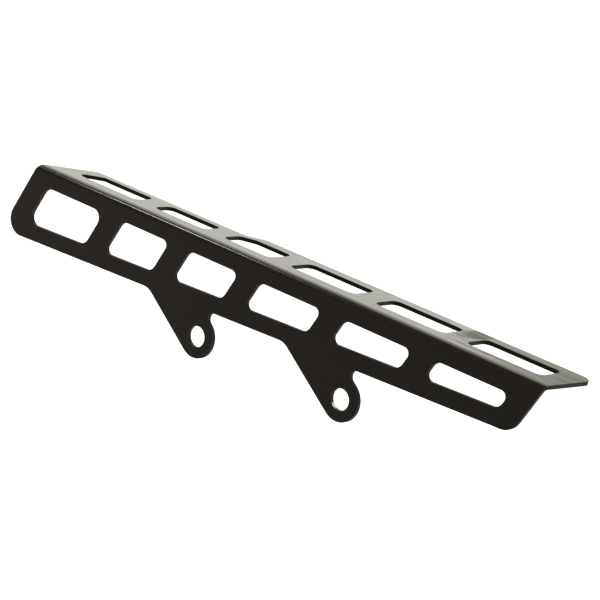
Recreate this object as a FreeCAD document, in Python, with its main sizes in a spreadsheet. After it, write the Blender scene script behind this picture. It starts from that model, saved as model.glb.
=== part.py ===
import FreeCAD, Part
import math
import os
import Sketcher
from FreeCAD import Vector

# Belt guard: one sheet, laser cut, folded once along its length and coated.
# The upright plate carries two bolt lugs, the flange reaches over the belt.
# Origin: axis of the left bolt hole, on the plate's outer face.
# +X runs along the fold, +Y from the plate's outer face under the flange, +Z up.

# Driving sizes, in millimetres and degrees.
SIZES = {
    # sheet and fold
    "sheet_thickness": 1.9,
    "bend_inner_radius": 1.1,
    "left_reach": 122.1,  # left bolt hole to the fold's left end
    "fold_height": 46.2,  # left bolt hole up to the flange's top face
    # plate
    "end_slant": 23.4,  # both ends of the plate, off square to the fold
    "plate_taper": 2.53,  # lower edge, off parallel to the fold
    "plate_corner_radius": 8.5,
    # plate windows, lengths along the fold
    "left_end_bar": 12.9,
    "window_1_length": 40.5,
    "window_2_length": 31.6,
    "window_3_length": 31.6,
    "window_4_length": 37.5,
    "window_5_length": 38.3,
    "window_6_length": 38.8,
    "window_bar": 13.0,
    "right_end_bar": 11.9,
    "window_top_margin": 9.5,
    "window_end_height": 7.2,  # at the fold's right end, where the windows are lowest
    "window_bottom_rim": 7.8,
    "window_corner_radius": 2.8,  # the two sharp corners of a window
    "window_wide_corner_radius": 5.4,  # the two wide corners
    "first_corner_radius": 4.5,  # sharp corners of the first window
    "first_wide_corner_radius": 6.4,
    "end_share": 0.97,  # most of a slanted end that its two corner arcs take
    # lugs
    "bolt_pitch": 87.5,
    "bolt_rise": 2.4,  # right bolt hole above the left one
    "bolt_hole_radius": 5.0,
    "lug_radius": 10.2,
    "lug_flank_angle": 34.5,
    "lug_root_radius": 8.8,
    "lug_notch_radius": 3.0,
    # flange
    "flange_fold_margin": 9.7,
    "flange_window_narrow": 12.5,
    "flange_window_wide": 16.6,
    "flange_narrow_rim": 4.5,
    "flange_wide_rim": 6.5,
    "flange_step_length": 7.4,
    "flange_step_radius": 5.0,
    "flange_cut_back": 15.2,  # left end, along the fold
    "flange_cut_back_radius": 5.0,
    "flange_end_lean": 4.4,
    "flange_corner_radius": 5.4,
    # flange windows, set from the plate's bars across the fold
    "flange_bar": 11.8,
    "flange_bar_shift_1": 5.3,
    "flange_bar_shift_2": 6.0,
    "flange_bar_shift_3": 2.8,
    "flange_bar_shift_4": 2.5,
    "flange_bar_shift_5": 2.0,
    "flange_left_bar_near": 9.4,
    "flange_left_bar_far": 12.1,
    "flange_right_bar": 9.6,
    "flange_window_corner_radius": 3.5,
    "corner_share": 0.45,  # most of a flange window's width that one corner arc takes
    "flange_first_far_radius": 2.0,
    # overrun of the bend before its ends are trimmed
    "trim_overrun": 4.0,
}

doc = FreeCAD.newDocument("belt_guard")
sheet = doc.addObject("Spreadsheet::Sheet", "Sizes")
for row, (alias, number) in enumerate(SIZES.items(), start=1):
    sheet.set(f"A{row}", str(number))
    sheet.setAlias(f"A{row}", alias)
doc.recompute()

body = doc.addObject("PartDesign::Body", "Guard")
body.Label = "belt_guard"

WINDOW_COUNT = 6
STEPPED_WINDOW = WINDOW_COUNT // 2  # where the flange steps out
ORIGIN = (-1, 1)  # the sketch's origin, as a geometry and its vertex
START, END, CENTRE = 1, 2, 3
SAME_HEADING = 1 - 1e-9  # cosine above which two runs join smoothly
QUARTER_TURN = 0.25
WASTE_REACH = 3  # overruns that the trimmed-off waste reaches beyond an end

# Expressions over the sheet that several sketches share.
BEND_OUTER = "(Sizes.bend_inner_radius + Sizes.sheet_thickness)"
FOLD_LEFT = "(-Sizes.left_reach)"
SLANT = "tan(Sizes.end_slant)"
TAPER = "tan(Sizes.plate_taper)"
SHARP_HALF = "tan((90 - Sizes.end_slant - Sizes.plate_taper) / 2)"
WIDE_HALF = "tan((90 + Sizes.end_slant) / 2)"
PLATE_TOP = f"(Sizes.fold_height - {BEND_OUTER})"
WINDOW_EDGE = "(Sizes.window_top_margin + Sizes.window_end_height)"
PLATE_EDGE = f"({WINDOW_EDGE} + Sizes.window_bottom_rim)"
NEAR = "Sizes.flange_fold_margin"
FAR_NARROW = f"({NEAR} + Sizes.flange_window_narrow)"
FAR_WIDE = f"({NEAR} + Sizes.flange_window_wide)"
FLANGE_NARROW = f"({FAR_NARROW} + Sizes.flange_narrow_rim)"
FLANGE_WIDE = f"({FAR_WIDE} + Sizes.flange_wide_rim)"
BOLTS = (("0", "0"), ("Sizes.bolt_pitch", "Sizes.bolt_rise"))


def plate_window_ends():
    """Where each plate window starts and ends, carried up to the fold."""
    ends = []
    start = f"{FOLD_LEFT} + Sizes.left_end_bar"
    for number in range(1, WINDOW_COUNT + 1):
        end = f"{start} + Sizes.window_{number}_length"
        ends.append((f"({start})", f"({end})"))
        start = f"{end} + Sizes.window_bar"
    return ends


PLATE_WINDOWS = plate_window_ends()
FOLD_RIGHT = f"({PLATE_WINDOWS[-1][1]} + Sizes.right_end_bar)"


def cut_back_at(depth):
    """Place along the fold of the flange's cut-back left end, at a depth."""
    return f"({FOLD_LEFT} + Sizes.flange_cut_back * {depth} / {FLANGE_NARROW})"


def flange_window_ends():
    """Where each flange window starts and ends along its near edge."""
    starts = [f"({cut_back_at(NEAR)} + Sizes.flange_left_bar_near)"]
    ends = []
    for number in range(1, WINDOW_COUNT):
        plate_end = PLATE_WINDOWS[number - 1][1]
        bar = f"{plate_end} + Sizes.window_bar / 2 + Sizes.flange_bar_shift_{number}"
        ends.append(f"({bar} - Sizes.flange_bar / 2)")
        starts.append(f"({bar} + Sizes.flange_bar / 2)")
    ends.append(f"({FOLD_RIGHT} - Sizes.flange_right_bar)")
    return list(zip(starts, ends))


FLANGE_WINDOWS = flange_window_ends()
STEP_START = FLANGE_WINDOWS[STEPPED_WINDOW - 1][0]
STEP_END = f"({STEP_START} + Sizes.flange_step_length)"
FLANGE_LEFT = cut_back_at(BEND_OUTER)
FLANGE_RIGHT = f"({FOLD_RIGHT} + tan(Sizes.flange_end_lean) * {BEND_OUTER})"
PLATE_LEFT = f"({FOLD_LEFT} - {SLANT} * {BEND_OUTER})"
PLATE_RIGHT = f"({FOLD_RIGHT} - {SLANT} * {BEND_OUTER})"


def value(expression):
    """Number that an expression over the sheet gives now."""
    result = sheet.evalExpression(expression)
    return float(getattr(result, "Value", result))


def depth_on_slant(edge_depth, fold_place):
    """Depth below the fold where a slanted end meets a tapering edge.

    edge_depth is the edge's depth at the fold's right end, and fold_place is
    where the slanted end, carried up, meets the fold.
    """
    run = f"({FOLD_RIGHT} - {fold_place})"
    return f"(({edge_depth} + {TAPER} * {run}) / (1 - {TAPER} * {SLANT}))"


def slant_point(fold_place, depth):
    """Point of a slanted end at a depth below the fold."""
    return f"{fold_place} - {SLANT} * {depth}", f"Sizes.fold_height - {depth}"


class Draft:
    """Sketch on one of the body's origin planes, moved along the plane's normal.

    Its constraints are gathered while it is drawn and solved together at the end.
    """

    def __init__(self, name, role, offset=None):
        plane = next(each for each in body.Origin.OriginFeatures if each.Role == role)
        self.sketch = body.newObject("Sketcher::SketchObject", name)
        self.sketch.AttachmentSupport = [(plane, "")]
        self.sketch.MapMode = "FlatFace"
        if offset:
            self.sketch.setExpression("AttachmentOffset.Base.z", offset)
        self.constraints = []
        self.sizes = {}

    def add(self, curve, construction=False):
        """Draw one piece of geometry and return its number."""
        return self.sketch.addGeometry(curve, construction)

    def hold(self, kind, *where):
        """Tie geometry together by a constraint."""
        self.constraints.append(Sketcher.Constraint(kind, *where))

    def size(self, kind, where, expression, number=None):
        """Give a dimension that follows an expression over the sheet."""
        self.sizes[len(self.constraints)] = expression
        self.hold(kind, *where, value(expression) if number is None else number)

    def place(self, geometry, vertex, across, up):
        """Hold a vertex at its two distances from the origin."""
        self.size("DistanceX", (*ORIGIN, geometry, vertex), across)
        self.size("DistanceY", (*ORIGIN, geometry, vertex), up)

    def radius(self, geometry, expression):
        """Give an arc or circle its radius."""
        self.size("Radius", (geometry,), expression)

    def finished(self):
        """Apply the constraints, bind the dimensions and return the sketch."""
        self.sketch.addConstraint(self.constraints)
        for index, expression in self.sizes.items():
            name = f"size_{index}"
            self.sketch.renameConstraint(index, name)
            self.sketch.setExpression(f"Constraints.{name}", expression)
        return self.sketch


class Line:
    """Straight run of an outline."""

    first, last = START, END

    def __init__(self, begin, finish):
        self.begin, self.finish = begin, finish
        self.heading_in = self.heading_out = (finish - begin).normalize()

    def curve(self):
        """Edge to draw."""
        return Part.LineSegment(self.begin, self.finish)


class Arc:
    """Round run of an outline, turning left or right about its centre."""

    def __init__(self, centre, begin, finish, left):
        self.centre, self.begin, self.finish, self.left = centre, begin, finish, left
        self.first, self.last = (START, END) if left else (END, START)
        self.heading_in = self.heading(begin)
        self.heading_out = self.heading(finish)

    def heading(self, point):
        """Direction of travel at a point of the arc."""
        radial = (point - self.centre).normalize()
        turned = Vector(-radial.y, radial.x, 0)
        return turned if self.left else -turned

    def curve(self):
        """Edge to draw, which always turns left from its start."""
        low, high = (self.begin, self.finish) if self.left else (self.finish, self.begin)
        circle = Part.Circle(self.centre, Vector(0, 0, 1), (low - self.centre).Length)
        angles = [math.atan2(p.y - self.centre.y, p.x - self.centre.x) for p in (low, high)]
        return Part.ArcOfCircle(circle, *angles)


def draw_chain(draft, runs):
    """Draw runs end to end as one closed outline and note their numbers."""
    for run in runs:
        run.number = draft.add(run.curve())
    for here, there in zip(runs[-1:] + runs[:-1], runs):
        smooth = here.heading_out.dot(there.heading_in) > SAME_HEADING
        joint = (here.number, here.last, there.number, there.first)
        draft.hold("Tangent" if smooth else "Coincident", *joint)


def corner_arc(point, before, after, radius):
    """Arc of a radius that rounds the corner between two neighbouring points."""
    back = (before - point).normalize()
    ahead = (after - point).normalize()
    half = back.getAngle(ahead) / 2
    trim = radius / math.tan(half)
    centre = point + (back + ahead).normalize() * (radius / math.sin(half))
    turns_left = (-back).cross(ahead).z > 0
    return Arc(centre, point + back * trim, point + ahead * trim, turns_left)


def rounded_outline(draft, corners):
    """Closed outline of straight sides with arcs at its rounded corners.

    corners holds (across, up, radius) expressions in left-turning order, and
    a radius of None leaves a corner sharp.
    """
    count = len(corners)
    points = [Vector(value(across), value(up), 0) for across, up, _ in corners]
    arcs = [
        radius and corner_arc(points[i], points[i - 1], points[(i + 1) % count], value(radius))
        for i, (_, _, radius) in enumerate(corners)
    ]
    begins = [arc.begin if arc else point for arc, point in zip(arcs, points)]
    finishes = [arc.finish if arc else point for arc, point in zip(arcs, points)]
    sides = [Line(finishes[i], begins[(i + 1) % count]) for i in range(count)]
    draw_chain(draft, [run for pair in zip(arcs, sides) for run in pair if run])
    for i, (across, up, radius) in enumerate(corners):
        if radius is None:
            draft.place(sides[i].number, START, across, up)
            continue
        draft.radius(arcs[i].number, radius)
        corner = draft.add(Part.Point(points[i]), construction=True)
        for side in (sides[i - 1], sides[i]):
            draft.hold("PointOnObject", corner, START, side.number)
        draft.place(corner, START, across, up)


def meet(point, heading, other, other_heading):
    """Point where two straight lines cross."""
    gap = other - point
    return point + heading * (gap.cross(other_heading).z / heading.cross(other_heading).z)


class Lug:
    """Bolt lug below the plate's lower edge, travelled from right to left.

    A notch leads from the edge to the round end, and the flank and its root lead
    back. A lug that hangs low has a neck after the notch, parallel to the flank.
    """

    def __init__(self, bolt, edge, along):
        self.bolt = bolt
        centre = Vector(value(bolt[0]), value(bolt[1]), 0)
        end_radius = value("Sizes.lug_radius")
        notch_radius = value("Sizes.lug_notch_radius")
        flank_angle = math.radians(value("Sizes.lug_flank_angle"))
        up_flank = Vector(-math.cos(flank_angle), math.sin(flank_angle), 0)
        outward = Vector(-up_flank.y, up_flank.x, 0)
        down = Vector(along.y, -along.x, 0)
        reach = end_radius + notch_radius
        notch_line = edge + down * notch_radius
        notch_centre = meet(centre - outward * reach, up_flank, notch_line, along)
        neck_length = (notch_centre - centre).dot(up_flank)
        if neck_length <= 0:
            drop = (centre - notch_line).dot(down)
            notch_centre = centre - down * drop + along * math.sqrt(reach**2 - drop**2)
        neck_begin = notch_centre + outward * notch_radius
        neck_end = centre - outward * end_radius
        if neck_length <= 0:
            neck_begin = neck_end = centre + (notch_centre - centre) * (end_radius / reach)
        touch = centre + outward * end_radius
        foot = meet(touch, up_flank, edge, along)
        self.root = corner_arc(foot, touch, foot - along, value("Sizes.lug_root_radius"))
        self.flank = Line(touch, self.root.begin)
        self.end = Arc(centre, neck_end, touch, False)
        self.neck = Line(neck_begin, neck_end) if neck_length > 0 else None
        self.notch = Arc(notch_centre, notch_centre - down * notch_radius, neck_begin, True)
        self.runs = [each for each in (self.notch, self.neck, self.end, self.flank, self.root) if each]

    def hold(self, draft):
        """Tie the drawn lug to its bolt and its sizes."""
        draft.place(self.end.number, CENTRE, *self.bolt)
        draft.radius(self.end.number, "Sizes.lug_radius")
        draft.radius(self.notch.number, "Sizes.lug_notch_radius")
        draft.radius(self.root.number, "Sizes.lug_root_radius")
        slope = "180 - Sizes.lug_flank_angle"
        draft.size("Angle", (self.flank.number,), slope, math.radians(value(slope)))
        if self.neck:
            draft.hold("Parallel", self.neck.number, self.flank.number)


def draw_plate(draft):
    """Outline of the plate with its two lugs, below the bend."""
    corners = [
        (PLATE_LEFT, PLATE_TOP),
        slant_point(FOLD_LEFT, depth_on_slant(PLATE_EDGE, FOLD_LEFT)),
        slant_point(FOLD_RIGHT, depth_on_slant(PLATE_EDGE, FOLD_RIGHT)),
        (PLATE_RIGHT, PLATE_TOP),
    ]
    top_left, low_left, low_right, top_right = [Vector(value(x), value(y), 0) for x, y in corners]
    along = (low_right - low_left).normalize()
    radius = value("Sizes.plate_corner_radius")
    left_arc = corner_arc(low_left, low_right, top_left, radius)
    right_arc = corner_arc(low_right, top_right, low_left, radius)
    left_lug, right_lug = [Lug(bolt, low_left, along) for bolt in BOLTS]
    top = Line(top_left, top_right)
    right_end = Line(top_right, right_arc.begin)
    right_edge = Line(right_arc.finish, right_lug.notch.begin)
    middle_edge = Line(right_lug.root.finish, left_lug.notch.begin)
    left_edge = Line(left_lug.root.finish, left_arc.begin)
    left_end = Line(left_arc.finish, top_left)
    below = [right_edge, *right_lug.runs, middle_edge, *left_lug.runs, left_edge]
    draw_chain(draft, [top, right_end, right_arc, *below, left_arc, left_end])
    draft.place(top.number, START, *corners[0])
    draft.place(top.number, END, *corners[3])
    draft.hold("Tangent", left_edge.number, middle_edge.number)
    draft.hold("Tangent", left_edge.number, right_edge.number)
    low_corners = ((low_left, corners[1], left_end), (low_right, corners[2], right_end))
    for point, where, end in low_corners:
        corner = draft.add(Part.Point(point), construction=True)
        draft.hold("PointOnObject", corner, START, end.number)
        draft.hold("PointOnObject", corner, START, left_edge.number)
        draft.place(corner, START, *where)
    for arc in (left_arc, right_arc):
        draft.radius(arc.number, "Sizes.plate_corner_radius")
    for lug in (left_lug, right_lug):
        lug.hold(draft)


def draw_bend(draft):
    """Quarter ring of the bend, across the fold."""
    outer, inner = value(BEND_OUTER), value("Sizes.bend_inner_radius")
    centre = Vector(outer, value(PLATE_TOP), 0)
    up, back = Vector(0, 1, 0), Vector(-1, 0, 0)
    outside = Arc(centre, centre + up * outer, centre + back * outer, True)
    level = Line(centre + back * outer, centre + back * inner)
    inside = Arc(centre, centre + back * inner, centre + up * inner, False)
    upright = Line(centre + up * inner, centre + up * outer)
    draw_chain(draft, [outside, level, inside, upright])
    draft.place(outside.number, CENTRE, BEND_OUTER, PLATE_TOP)
    draft.hold("Coincident", outside.number, CENTRE, inside.number, CENTRE)
    draft.radius(outside.number, BEND_OUTER)
    draft.radius(inside.number, "Sizes.bend_inner_radius")
    draft.hold("Horizontal", level.number)
    draft.hold("Vertical", upright.number)
    draft.hold("Horizontal", level.number, START, outside.number, CENTRE)
    draft.hold("Vertical", upright.number, START, outside.number, CENTRE)


def draw_flange(draft):
    """Outline of the flange beyond the bend, from above."""
    far_right = f"{FOLD_RIGHT} + tan(Sizes.flange_end_lean) * {FLANGE_WIDE}"
    corners = [
        (FLANGE_LEFT, BEND_OUTER, None),
        (FLANGE_RIGHT, BEND_OUTER, None),
        (far_right, FLANGE_WIDE, "Sizes.flange_corner_radius"),
        (STEP_END, FLANGE_WIDE, "Sizes.flange_step_radius"),
        (STEP_START, FLANGE_NARROW, "Sizes.flange_step_radius"),
        (cut_back_at(FLANGE_NARROW), FLANGE_NARROW, "Sizes.flange_cut_back_radius"),
    ]
    rounded_outline(draft, corners)


def draw_plate_window(draft, number):
    """Slanted window of the plate, lower towards the right."""
    start, end = PLATE_WINDOWS[number - 1]
    start_depth = depth_on_slant(WINDOW_EDGE, start)
    end_depth = depth_on_slant(WINDOW_EDGE, end)
    kind = "first" if number == 1 else "window"
    sharp, wide = f"Sizes.{kind}_corner_radius", f"Sizes.{kind}_wide_corner_radius"
    taken = f"({sharp} / {SHARP_HALF} + {wide} / {WIDE_HALF})"
    end_length = f"({end_depth} - Sizes.window_top_margin) / cos(Sizes.end_slant)"
    fit = f"min(1; Sizes.end_share * {end_length} / {taken})"
    corners = [
        (*slant_point(start, "Sizes.window_top_margin"), f"{wide} * {fit}"),
        (*slant_point(start, start_depth), f"{sharp} * {fit}"),
        (*slant_point(end, end_depth), f"{wide} * {fit}"),
        (*slant_point(end, "Sizes.window_top_margin"), f"{sharp} * {fit}"),
    ]
    rounded_outline(draft, corners)


def draw_flange_window(draft, number):
    """Window of the flange: cut back on the first, stepped on the third."""
    start, end = FLANGE_WINDOWS[number - 1]
    stepped = number == STEPPED_WINDOW
    start_far = FAR_NARROW if number <= STEPPED_WINDOW else FAR_WIDE
    end_far = FAR_NARROW if number < STEPPED_WINDOW else FAR_WIDE
    limit = f"Sizes.corner_share * ({start_far} - {NEAR})"
    radius = f"min(Sizes.flange_window_corner_radius; {limit})"
    corners = [(start, NEAR, radius), (end, NEAR, radius), (end, end_far, radius)]
    if stepped:
        corners.append((STEP_END, end_far, "Sizes.flange_step_radius"))
    if number == 1:
        far_start = f"{cut_back_at(FAR_NARROW)} + Sizes.flange_left_bar_far"
        corners.append((far_start, start_far, "Sizes.flange_first_far_radius"))
    else:
        corners.append((start, start_far, radius))
    rounded_outline(draft, corners)


def draw_bend_waste(draft, end, outside):
    """Waste beyond an end of the bend, beside the bend's own axis."""
    beyond = f"{end} + {outside} * {WASTE_REACH} * Sizes.trim_overrun"
    left, right = (beyond, end) if outside < 0 else (end, beyond)
    low, high = f"-{BEND_OUTER} - Sizes.bend_inner_radius / 2", "-Sizes.bend_inner_radius / 2"
    corners = [(left, low), (right, low), (right, high), (left, high)]
    rounded_outline(draft, [(across, up, None) for across, up in corners])


def pad(name, draft, length, against=False):
    """Solid drawn out from a sketch along its normal, or against it."""
    feature = body.newObject("PartDesign::Pad", name)
    feature.Profile = draft.finished()
    feature.setExpression("Length", length)
    feature.Reversed = against
    doc.recompute()


def check_cut(name, before):
    """Stop if a cut left the solid as it was."""
    doc.recompute()
    if body.Shape.Volume >= before:
        raise RuntimeError(f"{name} cut nothing")


def cut_through(name, draft):
    """Cut a sketch's outlines right through the sheet."""
    before = body.Shape.Volume
    feature = body.newObject("PartDesign::Pocket", name)
    feature.Profile = draft.finished()
    feature.Type = "ThroughAll"
    feature.SideType = "Symmetric"
    check_cut(name, before)


def trim_bend(name, plate_end, flange_end, outside):
    """Trim the bend so that its end winds from the plate's end to the flange's.

    The cut turns about the bend's axis as it moves along, which keeps the end
    square to the sheet all the way round. outside is the sign of the way out.
    """
    before = body.Shape.Volume
    waste = Draft(f"{name}_waste", "XY_Plane", PLATE_TOP)
    waste.sketch.setExpression("AttachmentOffset.Base.y", BEND_OUTER)
    draw_bend_waste(waste, plate_end, outside)
    feature = body.newObject("PartDesign::SubtractiveHelix", name)
    feature.Profile = waste.finished()
    feature.ReferenceAxis = (waste.sketch, ["H_Axis"])
    feature.Mode = "height-turns-angle"
    feature.setExpression("Height", f"{flange_end} - {plate_end}")
    feature.Turns = QUARTER_TURN
    feature.LeftHanded = True
    check_cut(name, before)


bend = Draft("bend_section", "YZ_Plane", f"{PLATE_LEFT} - Sizes.trim_overrun")
draw_bend(bend)
pad("bend", bend, f"{FLANGE_RIGHT} - {PLATE_LEFT} + 2 * Sizes.trim_overrun")
trim_bend("left_bend_end", PLATE_LEFT, FLANGE_LEFT, -1)
trim_bend("right_bend_end", PLATE_RIGHT, FLANGE_RIGHT, 1)

plate = Draft("plate_outline", "XZ_Plane")
draw_plate(plate)
pad("plate", plate, "Sizes.sheet_thickness", against=True)

flange = Draft("flange_outline", "XY_Plane", "Sizes.fold_height - Sizes.sheet_thickness")
draw_flange(flange)
pad("flange", flange, "Sizes.sheet_thickness")

for number in range(1, WINDOW_COUNT + 1):
    plate_window = Draft(f"plate_window_{number}_outline", "XZ_Plane")
    draw_plate_window(plate_window, number)
    cut_through(f"plate_window_{number}", plate_window)
    flange_window = Draft(f"flange_window_{number}_outline", "XY_Plane")
    draw_flange_window(flange_window, number)
    cut_through(f"flange_window_{number}", flange_window)

bolt_holes = Draft("bolt_holes", "XZ_Plane")
hole_radius = value("Sizes.bolt_hole_radius")
for across, up in BOLTS:
    ring = Part.Circle(Vector(value(across), value(up), 0), Vector(0, 0, 1), hole_radius)
    hole = bolt_holes.add(ring)
    bolt_holes.radius(hole, "Sizes.bolt_hole_radius")
    bolt_holes.place(hole, CENTRE, across, up)
cut_through("bolt_hole_cut", bolt_holes)

doc.recompute()
for each in doc.Objects:
    if {"Invalid", "Error"} & set(each.State):
        raise RuntimeError(f"{each.Label} failed: {each.State}")
guard = body.Shape
if guard.isNull() or not guard.isValid() or len(guard.Solids) != 1:
    raise RuntimeError("the guard is not one sound solid")
os.makedirs("parts", exist_ok=True)
guard.exportStep(f"parts/{body.Label}.step")
box = guard.optimalBoundingBox()
print(f"{body.Label}: {box.XLength:.2f} x {box.YLength:.2f} x {box.ZLength:.2f} mm, {guard.Volume:.0f} mm3")
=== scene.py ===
"""Belt guard in gloss black powder coat, in a plain white studio."""

import logging
import math
from dataclasses import dataclass, field
from enum import Enum
from typing import Any

import bpy
from mathutils import Euler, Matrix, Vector


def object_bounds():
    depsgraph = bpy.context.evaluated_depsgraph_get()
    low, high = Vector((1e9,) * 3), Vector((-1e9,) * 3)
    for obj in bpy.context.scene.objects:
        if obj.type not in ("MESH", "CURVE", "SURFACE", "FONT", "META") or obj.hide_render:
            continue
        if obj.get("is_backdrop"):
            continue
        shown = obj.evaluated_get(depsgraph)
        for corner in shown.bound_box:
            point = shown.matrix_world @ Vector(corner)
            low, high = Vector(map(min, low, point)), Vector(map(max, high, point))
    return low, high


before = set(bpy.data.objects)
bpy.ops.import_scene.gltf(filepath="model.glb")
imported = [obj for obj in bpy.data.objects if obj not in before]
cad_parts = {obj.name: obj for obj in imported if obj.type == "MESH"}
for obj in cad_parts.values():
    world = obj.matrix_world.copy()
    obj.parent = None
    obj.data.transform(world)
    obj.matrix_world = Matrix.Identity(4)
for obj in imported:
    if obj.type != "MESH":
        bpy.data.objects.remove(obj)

log = logging.getLogger("belt_guard")

MM = 0.001


class Ray(Enum):
    """Kinds of ray that see the white surroundings as they are."""

    CAMERA = "Is Camera Ray"
    GLOSSY = "Is Glossy Ray"
    TRANSMISSION = "Is Transmission Ray"


def linear(hex_colour: str) -> tuple[float, float, float, float]:
    """Turn an sRGB hex value into a linear colour.

    Args:
        hex_colour: Six hex digits after a hash.

    Returns:
        Linear red, green and blue, and an alpha of one.
    """
    parts = [int(hex_colour[i : i + 2], 16) / 255 for i in (1, 3, 5)]
    return (*(p / 12.92 if p <= 0.04045 else ((p + 0.055) / 1.055) ** 2.4 for p in parts), 1.0)


def add_node(
    tree: bpy.types.NodeTree,
    kind: str,
    settings: dict[str, Any] | None = None,
    inputs: dict[str | int, Any] | None = None,
) -> bpy.types.Node:
    """Add a node, set it up and link it.

    Args:
        tree: Node tree that gets the node.
        kind: Blender's name for the node's type.
        settings: Attributes of the node, by name.
        inputs: Values or output sockets for the node's inputs, by name or number.

    Returns:
        The new node.
    """
    node = tree.nodes.new(kind)
    for name, value in (settings or {}).items():
        setattr(node, name, value)
    for name, value in (inputs or {}).items():
        if isinstance(value, bpy.types.NodeSocket):
            tree.links.new(value, node.inputs[name])
        else:
            node.inputs[name].default_value = value
    return node


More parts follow.
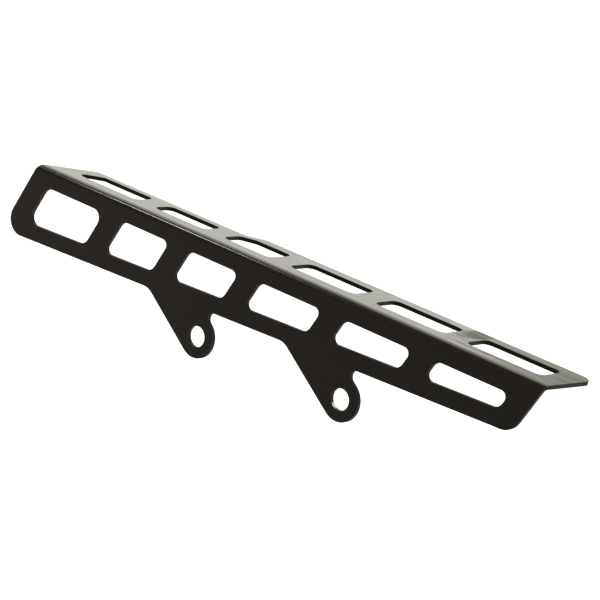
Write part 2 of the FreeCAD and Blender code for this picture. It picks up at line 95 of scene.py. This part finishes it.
@dataclass(frozen=True)
class PowderCoat:
    """Gloss black polyester powder coat, sprayed dry and baked on steel sheet.

    The melted powder gives the eye a deep near-black with a soft, slightly
    wavy reflection, the orange peel, that brightens strongly at low angles.
    """

    name: str = "gloss_black_powder_coated_steel"
    thin_colour: str = "#271e17"
    deep_colour: str = "#1f1813"
    cloud_mm: float = 26.0
    ior: float = 1.5
    roughness_low: float = 0.125
    roughness_high: float = 0.14
    smear_mm: float = 9.0
    peel_mm: float = 3.0
    peel_height_mm: float = 0.002
    wave_mm: float = 8.0
    wave_stretch: float = 3.5
    wave_height_mm: float = 0.8
    even_share: float = 0.15  # of the waves' height, along the left part of the flange
    even_until_mm: float = 95.0
    uneven_from_mm: float = 135.0
    bulge_place_mm: tuple[float, float, float] = (126.0, 30.0, 46.2)
    bulge_reach_mm: float = 11.0
    bulge_squeeze: float = 0.7  # below one, it reaches further across the flange than along it
    bulge_height_mm: float = 1.0
    lump_detail: float = 2.0
    lump_roughness: float = 0.45
    flange_turn: float = 0.97  # least upward lean of the flange's top, as a cosine
    face_turn: float = 0.9  # least lean across the sheet of its faces
    edge_turn: float = 0.5  # most lean across the sheet of its cut edges
    cut_roughness: float = 0.6
    gloss_level: float = 0.5
    cut_level: float = 0.35
    # Pale metal patch on the right bolt hole's wall: a painted highlight.
    glint_colour: str = "#f0eee9"
    glint_place_mm: tuple[float, float, float] = (84.5, 0.95, -1.6)
    glint_reach_mm: float = 2.2
    glint_core_mm: float = 1.1

    def material(self, fold_axis: tuple[float, float, float]) -> bpy.types.Material:
        """Make the coat's material.

        Args:
            fold_axis: A point of the bend's axis, in metres.

        Returns:
            A procedural material in the object's own metres.
        """
        material = bpy.data.materials.new(self.name)
        material.use_nodes = True
        tree = material.node_tree
        tree.nodes.clear()
        point = add_node(tree, "ShaderNodeTexCoord")
        place = point.outputs["Object"]
        facing = point.outputs["Normal"]
        cut = self.cut_edges(tree, place, facing, fold_axis)
        # Painted highlight in the right bolt hole, drawn as pale bare metal.
        glint = self.painted_glint(tree, place, cut)
        level = add_node(
            tree,
            "ShaderNodeMapRange",
            inputs={"Value": cut, "To Min": self.gloss_level, "To Max": self.cut_level},
        )
        coat = add_node(
            tree,
            "ShaderNodeBsdfPrincipled",
            inputs={
                "Base Color": self.tint(tree, place, glint),
                "Metallic": glint,
                "Roughness": self.sheen(tree, place, cut),
                "IOR": self.ior,
                "Specular IOR Level": level.outputs["Result"],
                "Normal": self.relief(tree, place, facing),
            },
        )
        add_node(tree, "ShaderNodeOutputMaterial", inputs={"Surface": coat.outputs["BSDF"]})
        return material

    def tint(
        self, tree: bpy.types.NodeTree, place: bpy.types.NodeSocket, glint: bpy.types.NodeSocket
    ) -> bpy.types.NodeSocket:
        """Cloud the coat's black, and paint a highlight: a pale metal patch on the right bolt hole's wall.

        Args:
            tree: Node tree that gets the nodes.
            place: Socket with the point's place in metres.
            glint: Socket that is one on the painted highlight.

        Returns:
            The colour's socket.
        """
        cloud = add_node(tree, "ShaderNodeTexNoise", inputs=self.lumps(place, self.cloud_mm))
        colour = add_node(tree, "ShaderNodeValToRGB", inputs={"Fac": cloud.outputs["Fac"]})
        colour.color_ramp.elements[0].color = linear(self.deep_colour)
        colour.color_ramp.elements[1].color = linear(self.thin_colour)
        # Painted highlight: a pale metal patch on the right bolt hole's wall.
        glinted = add_node(
            tree,
            "ShaderNodeMix",
            {"data_type": "RGBA"},
            {0: glint, 6: colour.outputs["Color"], 7: linear(self.glint_colour)},
        )
        return glinted.outputs[2]

    def sheen(
        self, tree: bpy.types.NodeTree, place: bpy.types.NodeSocket, cut: bpy.types.NodeSocket
    ) -> bpy.types.NodeSocket:
        """Vary the gloss of the faces, and dull the cut edges, where the coat is thin.

        Args:
            tree: Node tree that gets the nodes.
            place: Socket with the point's place in metres.
            cut: Socket that is one on a cut edge.

        Returns:
            The roughness's socket.
        """
        smear = add_node(tree, "ShaderNodeTexNoise", inputs=self.lumps(place, self.smear_mm))
        gloss = add_node(
            tree,
            "ShaderNodeMapRange",
            inputs={
                "Value": smear.outputs["Fac"],
                "To Min": self.roughness_low,
                "To Max": self.roughness_high,
            },
        )
        dull = add_node(
            tree,
            "ShaderNodeMapRange",
            inputs={"Value": cut, "To Min": gloss.outputs["Result"], "To Max": self.cut_roughness},
        )
        return dull.outputs["Result"]

    def relief(
        self, tree: bpy.types.NodeTree, place: bpy.types.NodeSocket, facing: bpy.types.NodeSocket
    ) -> bpy.types.NodeSocket:
        """Wave and bulge the flange, and lay the orange peel over it all.

        Args:
            tree: Node tree that gets the nodes.
            place: Socket with the point's place in metres.
            facing: Socket with the surface's direction there.

        Returns:
            The normal's socket.
        """
        along = add_node(tree, "ShaderNodeSeparateXYZ", inputs={"Vector": place}).outputs["X"]
        uneven = add_node(
            tree,
            "ShaderNodeMapRange",
            inputs={
                "Value": along,
                "From Min": self.even_until_mm * MM,
                "From Max": self.uneven_from_mm * MM,
                "To Min": self.even_share,
            },
        )
        upward = add_node(tree, "ShaderNodeSeparateXYZ", inputs={"Vector": facing}).outputs["Z"]
        flange = add_node(
            tree,
            "ShaderNodeMapRange",
            inputs={
                "Value": upward,
                "From Min": self.flange_turn,
                "To Max": uneven.outputs["Result"],
            },
        )
        stretched = add_node(
            tree,
            "ShaderNodeVectorMath",
            {"operation": "MULTIPLY"},
            {0: place, 1: (1 / self.wave_stretch, 1, 1)},
        ).outputs[0]
        swell = add_node(tree, "ShaderNodeTexNoise", inputs=self.lumps(stretched, self.wave_mm))
        # The flange's slight waves are drawn higher than they are, so that they show.
        wave = add_node(
            tree,
            "ShaderNodeBump",
            inputs={
                "Strength": flange.outputs["Result"],
                "Distance": self.wave_height_mm * MM,
                "Height": swell.outputs["Fac"],
            },
        )
        # So is the bulge beside the fifth window, where the flange turns out of the light.
        bulge = add_node(
            tree,
            "ShaderNodeBump",
            inputs={
                "Strength": flange.outputs["Result"],
                "Distance": self.bulge_height_mm * MM,
                "Height": self.rise(tree, place),
                "Normal": wave.outputs["Normal"],
            },
        )
        # Real orange peel is about 1 mm across: drawn coarser, so that it shows.
        grain = add_node(tree, "ShaderNodeTexNoise", inputs=self.lumps(place, self.peel_mm))
        peel = add_node(
            tree,
            "ShaderNodeBump",
            inputs={
                "Strength": 1.0,
                "Distance": self.peel_height_mm * MM,
                "Height": grain.outputs["Fac"],
                "Normal": bulge.outputs["Normal"],
            },
        )
        return peel.outputs["Normal"]

    def rise(
        self, tree: bpy.types.NodeTree, place: bpy.types.NodeSocket
    ) -> bpy.types.NodeSocket:
        """Shape the bulge of the flange beside its fifth window.

        Args:
            tree: Node tree that gets the nodes.
            place: Socket with the point's place in metres.

        Returns:
            A socket that is one on the bulge's top and falls to nought at its rim.
        """
        top = tuple(size * MM for size in self.bulge_place_mm)
        offset = place
        for operation, vector in (("SUBTRACT", top), ("MULTIPLY", (1, self.bulge_squeeze, 1))):
            pair = {0: offset, 1: vector}
            offset = add_node(tree, "ShaderNodeVectorMath", {"operation": operation}, pair).outputs[0]
        away = add_node(tree, "ShaderNodeVectorMath", {"operation": "LENGTH"}, {0: offset})
        ramp = {"Value": away.outputs["Value"], "From Min": self.bulge_reach_mm * MM, "From Max": 0.0}
        return add_node(tree, "ShaderNodeMapRange", inputs=ramp).outputs["Result"]

    def cut_edges(
        self,
        tree: bpy.types.NodeTree,
        place: bpy.types.NodeSocket,
        facing: bpy.types.NodeSocket,
        fold_axis: tuple[float, float, float],
    ) -> bpy.types.NodeSocket:
        """Find the sheet's cut edges, which don't face across the sheet.

        Args:
            tree: Node tree that gets the nodes.
            place: Socket with the point's place in metres.
            facing: Socket with the surface's direction there.
            fold_axis: A point of the bend's axis, in metres.

        Returns:
            A socket that is one on a cut edge and nought on the sheet's faces.
        """
        # Away from the fold's axis: out of the plate, up from the flange and round the bend.
        steps = (("SUBTRACT", fold_axis), ("MINIMUM", (0, 0, 1)), ("MAXIMUM", (0, -1, 0)))
        across = place
        for operation, vector in steps:
            pair = {0: across, 1: vector}
            across = add_node(tree, "ShaderNodeVectorMath", {"operation": operation}, pair).outputs[0]
        across = add_node(tree, "ShaderNodeVectorMath", {"operation": "NORMALIZE"}, {0: across})
        turn = add_node(
            tree,
            "ShaderNodeVectorMath",
            {"operation": "DOT_PRODUCT"},
            {0: across.outputs[0], 1: facing},
        )
        flat = add_node(tree, "ShaderNodeMath", {"operation": "ABSOLUTE"}, {0: turn.outputs["Value"]})
        ramp = {"Value": flat.outputs[0], "From Min": self.face_turn, "From Max": self.edge_turn}
        return add_node(tree, "ShaderNodeMapRange", inputs=ramp).outputs["Result"]

    def painted_glint(
        self, tree: bpy.types.NodeTree, place: bpy.types.NodeSocket, cut: bpy.types.NodeSocket
    ) -> bpy.types.NodeSocket:
        """Find the spot on the right bolt hole's wall that gets the painted highlight, a pale metal patch.

        Args:
            tree: Node tree that gets the nodes.
            place: Socket with the point's place in metres.
            cut: Socket that is one on a cut edge.

        Returns:
            A socket that is one on the painted highlight and nought elsewhere.
        """
        spot = tuple(size * MM for size in self.glint_place_mm)
        away = add_node(
            tree, "ShaderNodeVectorMath", {"operation": "DISTANCE"}, {0: place, 1: spot}
        ).outputs["Value"]
        near = {
            "Value": away,
            "From Min": self.glint_reach_mm * MM,
            "From Max": self.glint_core_mm * MM,
            "To Max": cut,
        }
        return add_node(tree, "ShaderNodeMapRange", inputs=near).outputs["Result"]

    def lumps(self, place: bpy.types.NodeSocket, size_mm: float) -> dict[str, Any]:
        """Give soft noise lumps of a real size.

        Args:
            place: Socket with the point's place in metres.
            size_mm: Size of a lump in millimetres.

        Returns:
            The noise's inputs, by name.
        """
        return {
            "Vector": place,
            "Scale": 1 / (size_mm * MM),
            "Detail": self.lump_detail,
            "Roughness": self.lump_roughness,
        }


def seen_directly(tree: bpy.types.NodeTree) -> bpy.types.NodeSocket:
    """Tell the rays that see the white surroundings as they are.

    Args:
        tree: Node tree that gets the nodes.

    Returns:
        A socket that is one for those rays and nought for the rest.
    """
    path = add_node(tree, "ShaderNodeLightPath")
    seen = path.outputs[Ray.CAMERA.value]
    for ray in (Ray.GLOSSY, Ray.TRANSMISSION):
        pair = {0: seen, 1: path.outputs[ray.value]}
        seen = add_node(tree, "ShaderNodeMath", {"operation": "MAXIMUM"}, pair).outputs[0]
    return seen


def graded(
    tree: bpy.types.NodeTree,
    coordinate: str,
    begin: tuple[float, float],
    finish: tuple[float, float],
) -> bpy.types.NodeSocket:
    """Grade a value smoothly from the front of the studio to its back.

    Args:
        tree: Node tree that gets the nodes.
        coordinate: Texture coordinate whose Y runs from front to back.
        begin: Place and value at the front.
        finish: Place and value at the back.

    Returns:
        The graded value's socket.
    """
    place = add_node(tree, "ShaderNodeTexCoord").outputs[coordinate]
    depth = add_node(tree, "ShaderNodeSeparateXYZ", inputs={"Vector": place}).outputs["Y"]
    ramp = {
        "Value": depth,
        "From Min": begin[0],
        "From Max": finish[0],
        "To Min": begin[1],
        "To Max": finish[1],
    }
    smooth = {"interpolation_type": "SMOOTHSTEP"}
    return add_node(tree, "ShaderNodeMapRange", smooth, ramp).outputs["Result"]


@dataclass(frozen=True)
class StudioPaper:
    """Matt white paper: pale to the eye from all sides, and white at the back."""

    name: str = "matt_white_studio_paper"
    colour: str = "#ececec"
    roughness: float = 0.9
    front: tuple[float, float] = (-0.3, 0.0)
    back: tuple[float, float] = (0.3, 1.0)
    pale: float = 0.8

    def material(self) -> bpy.types.Material:
        """Make the paper's material.

        Returns:
            A matt material that reads as white to the camera and keeps shadows.
        """
        material = bpy.data.materials.new(self.name)
        material.use_nodes = True
        tree = material.node_tree
        tree.nodes.clear()
        paper = add_node(
            tree,
            "ShaderNodeBsdfPrincipled",
            inputs={"Base Color": linear(self.colour), "Roughness": self.roughness},
        )
        camera = add_node(tree, "ShaderNodeLightPath").outputs[Ray.CAMERA.value]
        least = add_node(tree, "ShaderNodeMath", {"operation": "MULTIPLY"}, {0: camera, 1: self.pale})
        shown = add_node(
            tree,
            "ShaderNodeMath",
            {"operation": "MAXIMUM"},
            {0: least.outputs[0], 1: graded(tree, "Object", self.front, self.back)},
        )
        strength = add_node(
            tree,
            "ShaderNodeMath",
            {"operation": "MULTIPLY"},
            {0: seen_directly(tree), 1: shown.outputs[0]},
        )
        glow = add_node(tree, "ShaderNodeEmission", inputs={"Strength": strength.outputs[0]})
        both = add_node(
            tree,
            "ShaderNodeAddShader",
            inputs={0: paper.outputs["BSDF"], 1: glow.outputs["Emission"]},
        )
        add_node(tree, "ShaderNodeOutputMaterial", inputs={"Surface": both.outputs["Shader"]})
        return material


@dataclass
class BeltGuard:
    """The folded sheet, carried over from the CAD part and dressed."""

    node: str = "belt_guard"
    weld_mm: float = 0.01
    edge_mm: float = 0.15
    edge_steps: int = 2
    edge_angle: float = 40.0
    bend_mm: float = 3.0
    finish: PowderCoat = field(default_factory=PowderCoat)

    def build(self) -> bpy.types.Object:
        """Round the sheet's cut edges as the melted coat does.

        Returns:
            The sheet's object.
        """
        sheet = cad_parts[self.node]
        weld = sheet.modifiers.new("joined_faces", "WELD")
        weld.merge_threshold = self.weld_mm * MM
        edge = sheet.modifiers.new("coated_edges", "BEVEL")
        edge.width = self.edge_mm * MM
        edge.segments = self.edge_steps
        edge.limit_method = "ANGLE"
        edge.angle_limit = math.radians(self.edge_angle)
        even = sheet.modifiers.new("even_shading", "WEIGHTED_NORMAL")
        even.mode = "FACE_AREA"
        return sheet

    def dress(self, sheet: bpy.types.Object) -> None:
        """Give the sheet its coat.

        Args:
            sheet: The sheet's object.
        """
        low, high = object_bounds()
        bend = self.bend_mm * MM
        coat = self.finish.material((0.0, low[1] + bend, high[2] - bend))
        for slot in sheet.material_slots:
            slot.material = coat


@dataclass
class Softbox:
    """Rectangular studio lamp that faces the guard."""

    name: str
    place: tuple[float, float, float]
    width: float
    height: float
    radiance: float
    aim: tuple[float, float, float]
    colour: str = "#ffffff"

    def build(self) -> bpy.types.Object:
        """Make the lamp.

        Returns:
            The lamp's object.
        """
        lamp = bpy.data.lights.new(self.name, "AREA")
        lamp.shape = "RECTANGLE"
        lamp.size = self.width
        lamp.size_y = self.height
        lamp.color = linear(self.colour)[:3]
        lamp.energy = self.radiance * math.pi * self.width * self.height
        holder = bpy.data.objects.new(self.name, lamp)
        holder.location = self.place
        facing = Vector(self.aim) - Vector(self.place)
        holder.rotation_euler = facing.to_track_quat("-Z", "Y").to_euler()
        holder.visible_camera = False
        bpy.context.scene.collection.objects.link(holder)
        return holder


@dataclass
class Studio:
    """White floor, soft lamps and white surroundings."""

    floor_level: float = -0.3
    floor_span: float = 30.0
    fill: float = 0.12
    front: tuple[float, float] = (-0.45, 0.3)
    back: tuple[float, float] = (0.25, 0.88)
    wall_colour: str = "#fffeed"
    background: str = "#ffffff"
    paper: StudioPaper = field(default_factory=StudioPaper)
    # The back softbox fades over its right edge and rim.
    softboxes: tuple[Softbox, ...] = (
        Softbox("back_softbox", (-0.92, 1.145, 0.41), 0.6, 0.42, 0.8, (-0.55, 0.0, 0.04), "#fffdfb"),
        Softbox("back_edge", (-0.618, 1.2426, 0.41), 0.035, 0.42, 0.48, (-0.248, 0.0976, 0.04), "#fffdfb"),
        Softbox("back_rim", (-0.57, 1.258, 0.41), 0.065, 0.42, 0.24, (-0.2, 0.113, 0.04), "#fffdfb"),
        Softbox("top_softbox", (-0.79, 0.5, 1.07), 1.4, 1.3, 1.4, (-0.79, 0.0, 0.04), "#fff9ea"),
        Softbox("front_strip", (-1.95, -1.365, 1.905), 0.16, 0.4, 30.0, (-0.03, 0.0, 0.045)),
        Softbox("left_softbox", (-1.5, -0.75, 0.45), 0.6, 0.4, 1.7, (-0.9, -0.8, -0.3), "#ffe8d2"),
    )

    def build(self) -> bpy.types.Object:
        """Lay the floor and set the lamps.

        Returns:
            The floor's object.
        """
        half = self.floor_span / 2
        outline = ((-half, -half), (half, -half), (half, half), (-half, half))
        corners = [(x, y, self.floor_level) for x, y in outline]
        mesh = bpy.data.meshes.new("studio_floor")
        mesh.from_pydata(corners, [], [(0, 1, 2, 3)])
        floor = bpy.data.objects.new("studio_floor", mesh)
        bpy.context.scene.collection.objects.link(floor)
        floor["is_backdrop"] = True
        for softbox in self.softboxes:
            softbox.build()
            log.info("lamp %s", softbox.name)
        return floor

    def dress(self, floor: bpy.types.Object) -> None:
        """Give the floor its paper and the world its white.

        Args:
            floor: The floor's object.
        """
        floor.data.materials.append(self.paper.material())
        world = bpy.data.worlds.new("white_studio")
        bpy.context.scene.world = world
        world.use_nodes = True
        tree = world.node_tree
        tree.nodes.clear()
        camera = add_node(tree, "ShaderNodeLightPath").outputs[Ray.CAMERA.value]
        wall = graded(tree, "Generated", self.front, self.back)
        shown = add_node(
            tree, "ShaderNodeMath", {"operation": "MAXIMUM"}, {0: wall, 1: camera}
        ).outputs[0]
        strength = add_node(
            tree,
            "ShaderNodeMapRange",
            inputs={"Value": seen_directly(tree), "To Min": self.fill, "To Max": shown},
        )
        # The back wall is a warm white, the background behind the guard a plain one.
        tint = add_node(
            tree,
            "ShaderNodeMix",
            {"data_type": "RGBA"},
            {0: camera, 6: linear(self.wall_colour), 7: linear(self.background)},
        )
        white = add_node(
            tree,
            "ShaderNodeBackground",
            inputs={"Color": tint.outputs[2], "Strength": strength.outputs["Result"]},
        )
        add_node(tree, "ShaderNodeOutputWorld", inputs={"Surface": white.outputs["Background"]})


@dataclass
class PhotoCamera:
    """Camera at the photograph's viewpoint."""

    place: tuple[float, float, float] = (0.59994, -0.71953, 0.27418)
    turn: tuple[float, float, float] = (74.903, -12.673, 40.586)
    lens_mm: float = 126.54
    sensor_mm: float = 36.0
    nearest: float = 0.01

    def build(self) -> bpy.types.Object:
        """Make the camera and look through it.

        Returns:
            The camera's object.
        """
        data = bpy.data.cameras.new("photo_camera")
        data.lens = self.lens_mm
        data.sensor_width = self.sensor_mm
        data.clip_start = self.nearest
        camera = bpy.data.objects.new("photo_camera", data)
        camera.location = self.place
        camera.rotation_euler = Euler([math.radians(angle) for angle in self.turn], "XYZ")
        bpy.context.scene.collection.objects.link(camera)
        bpy.context.scene.camera = camera
        return camera


def main() -> None:
    """Dress the guard, set up the studio and place the camera."""
    logging.basicConfig(level=logging.INFO)
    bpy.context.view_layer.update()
    bpy.context.scene.view_settings.view_transform = "Standard"
    guard = BeltGuard()
    sheet = guard.build()
    guard.dress(sheet)
    log.info("piece %s: %d edge steps", guard.node, guard.edge_steps)
    studio = Studio()
    floor = studio.build()
    studio.dress(floor)
    camera = PhotoCamera().build()
    log.info("camera %s", camera.name)


if __name__ == "__main__":
    main()
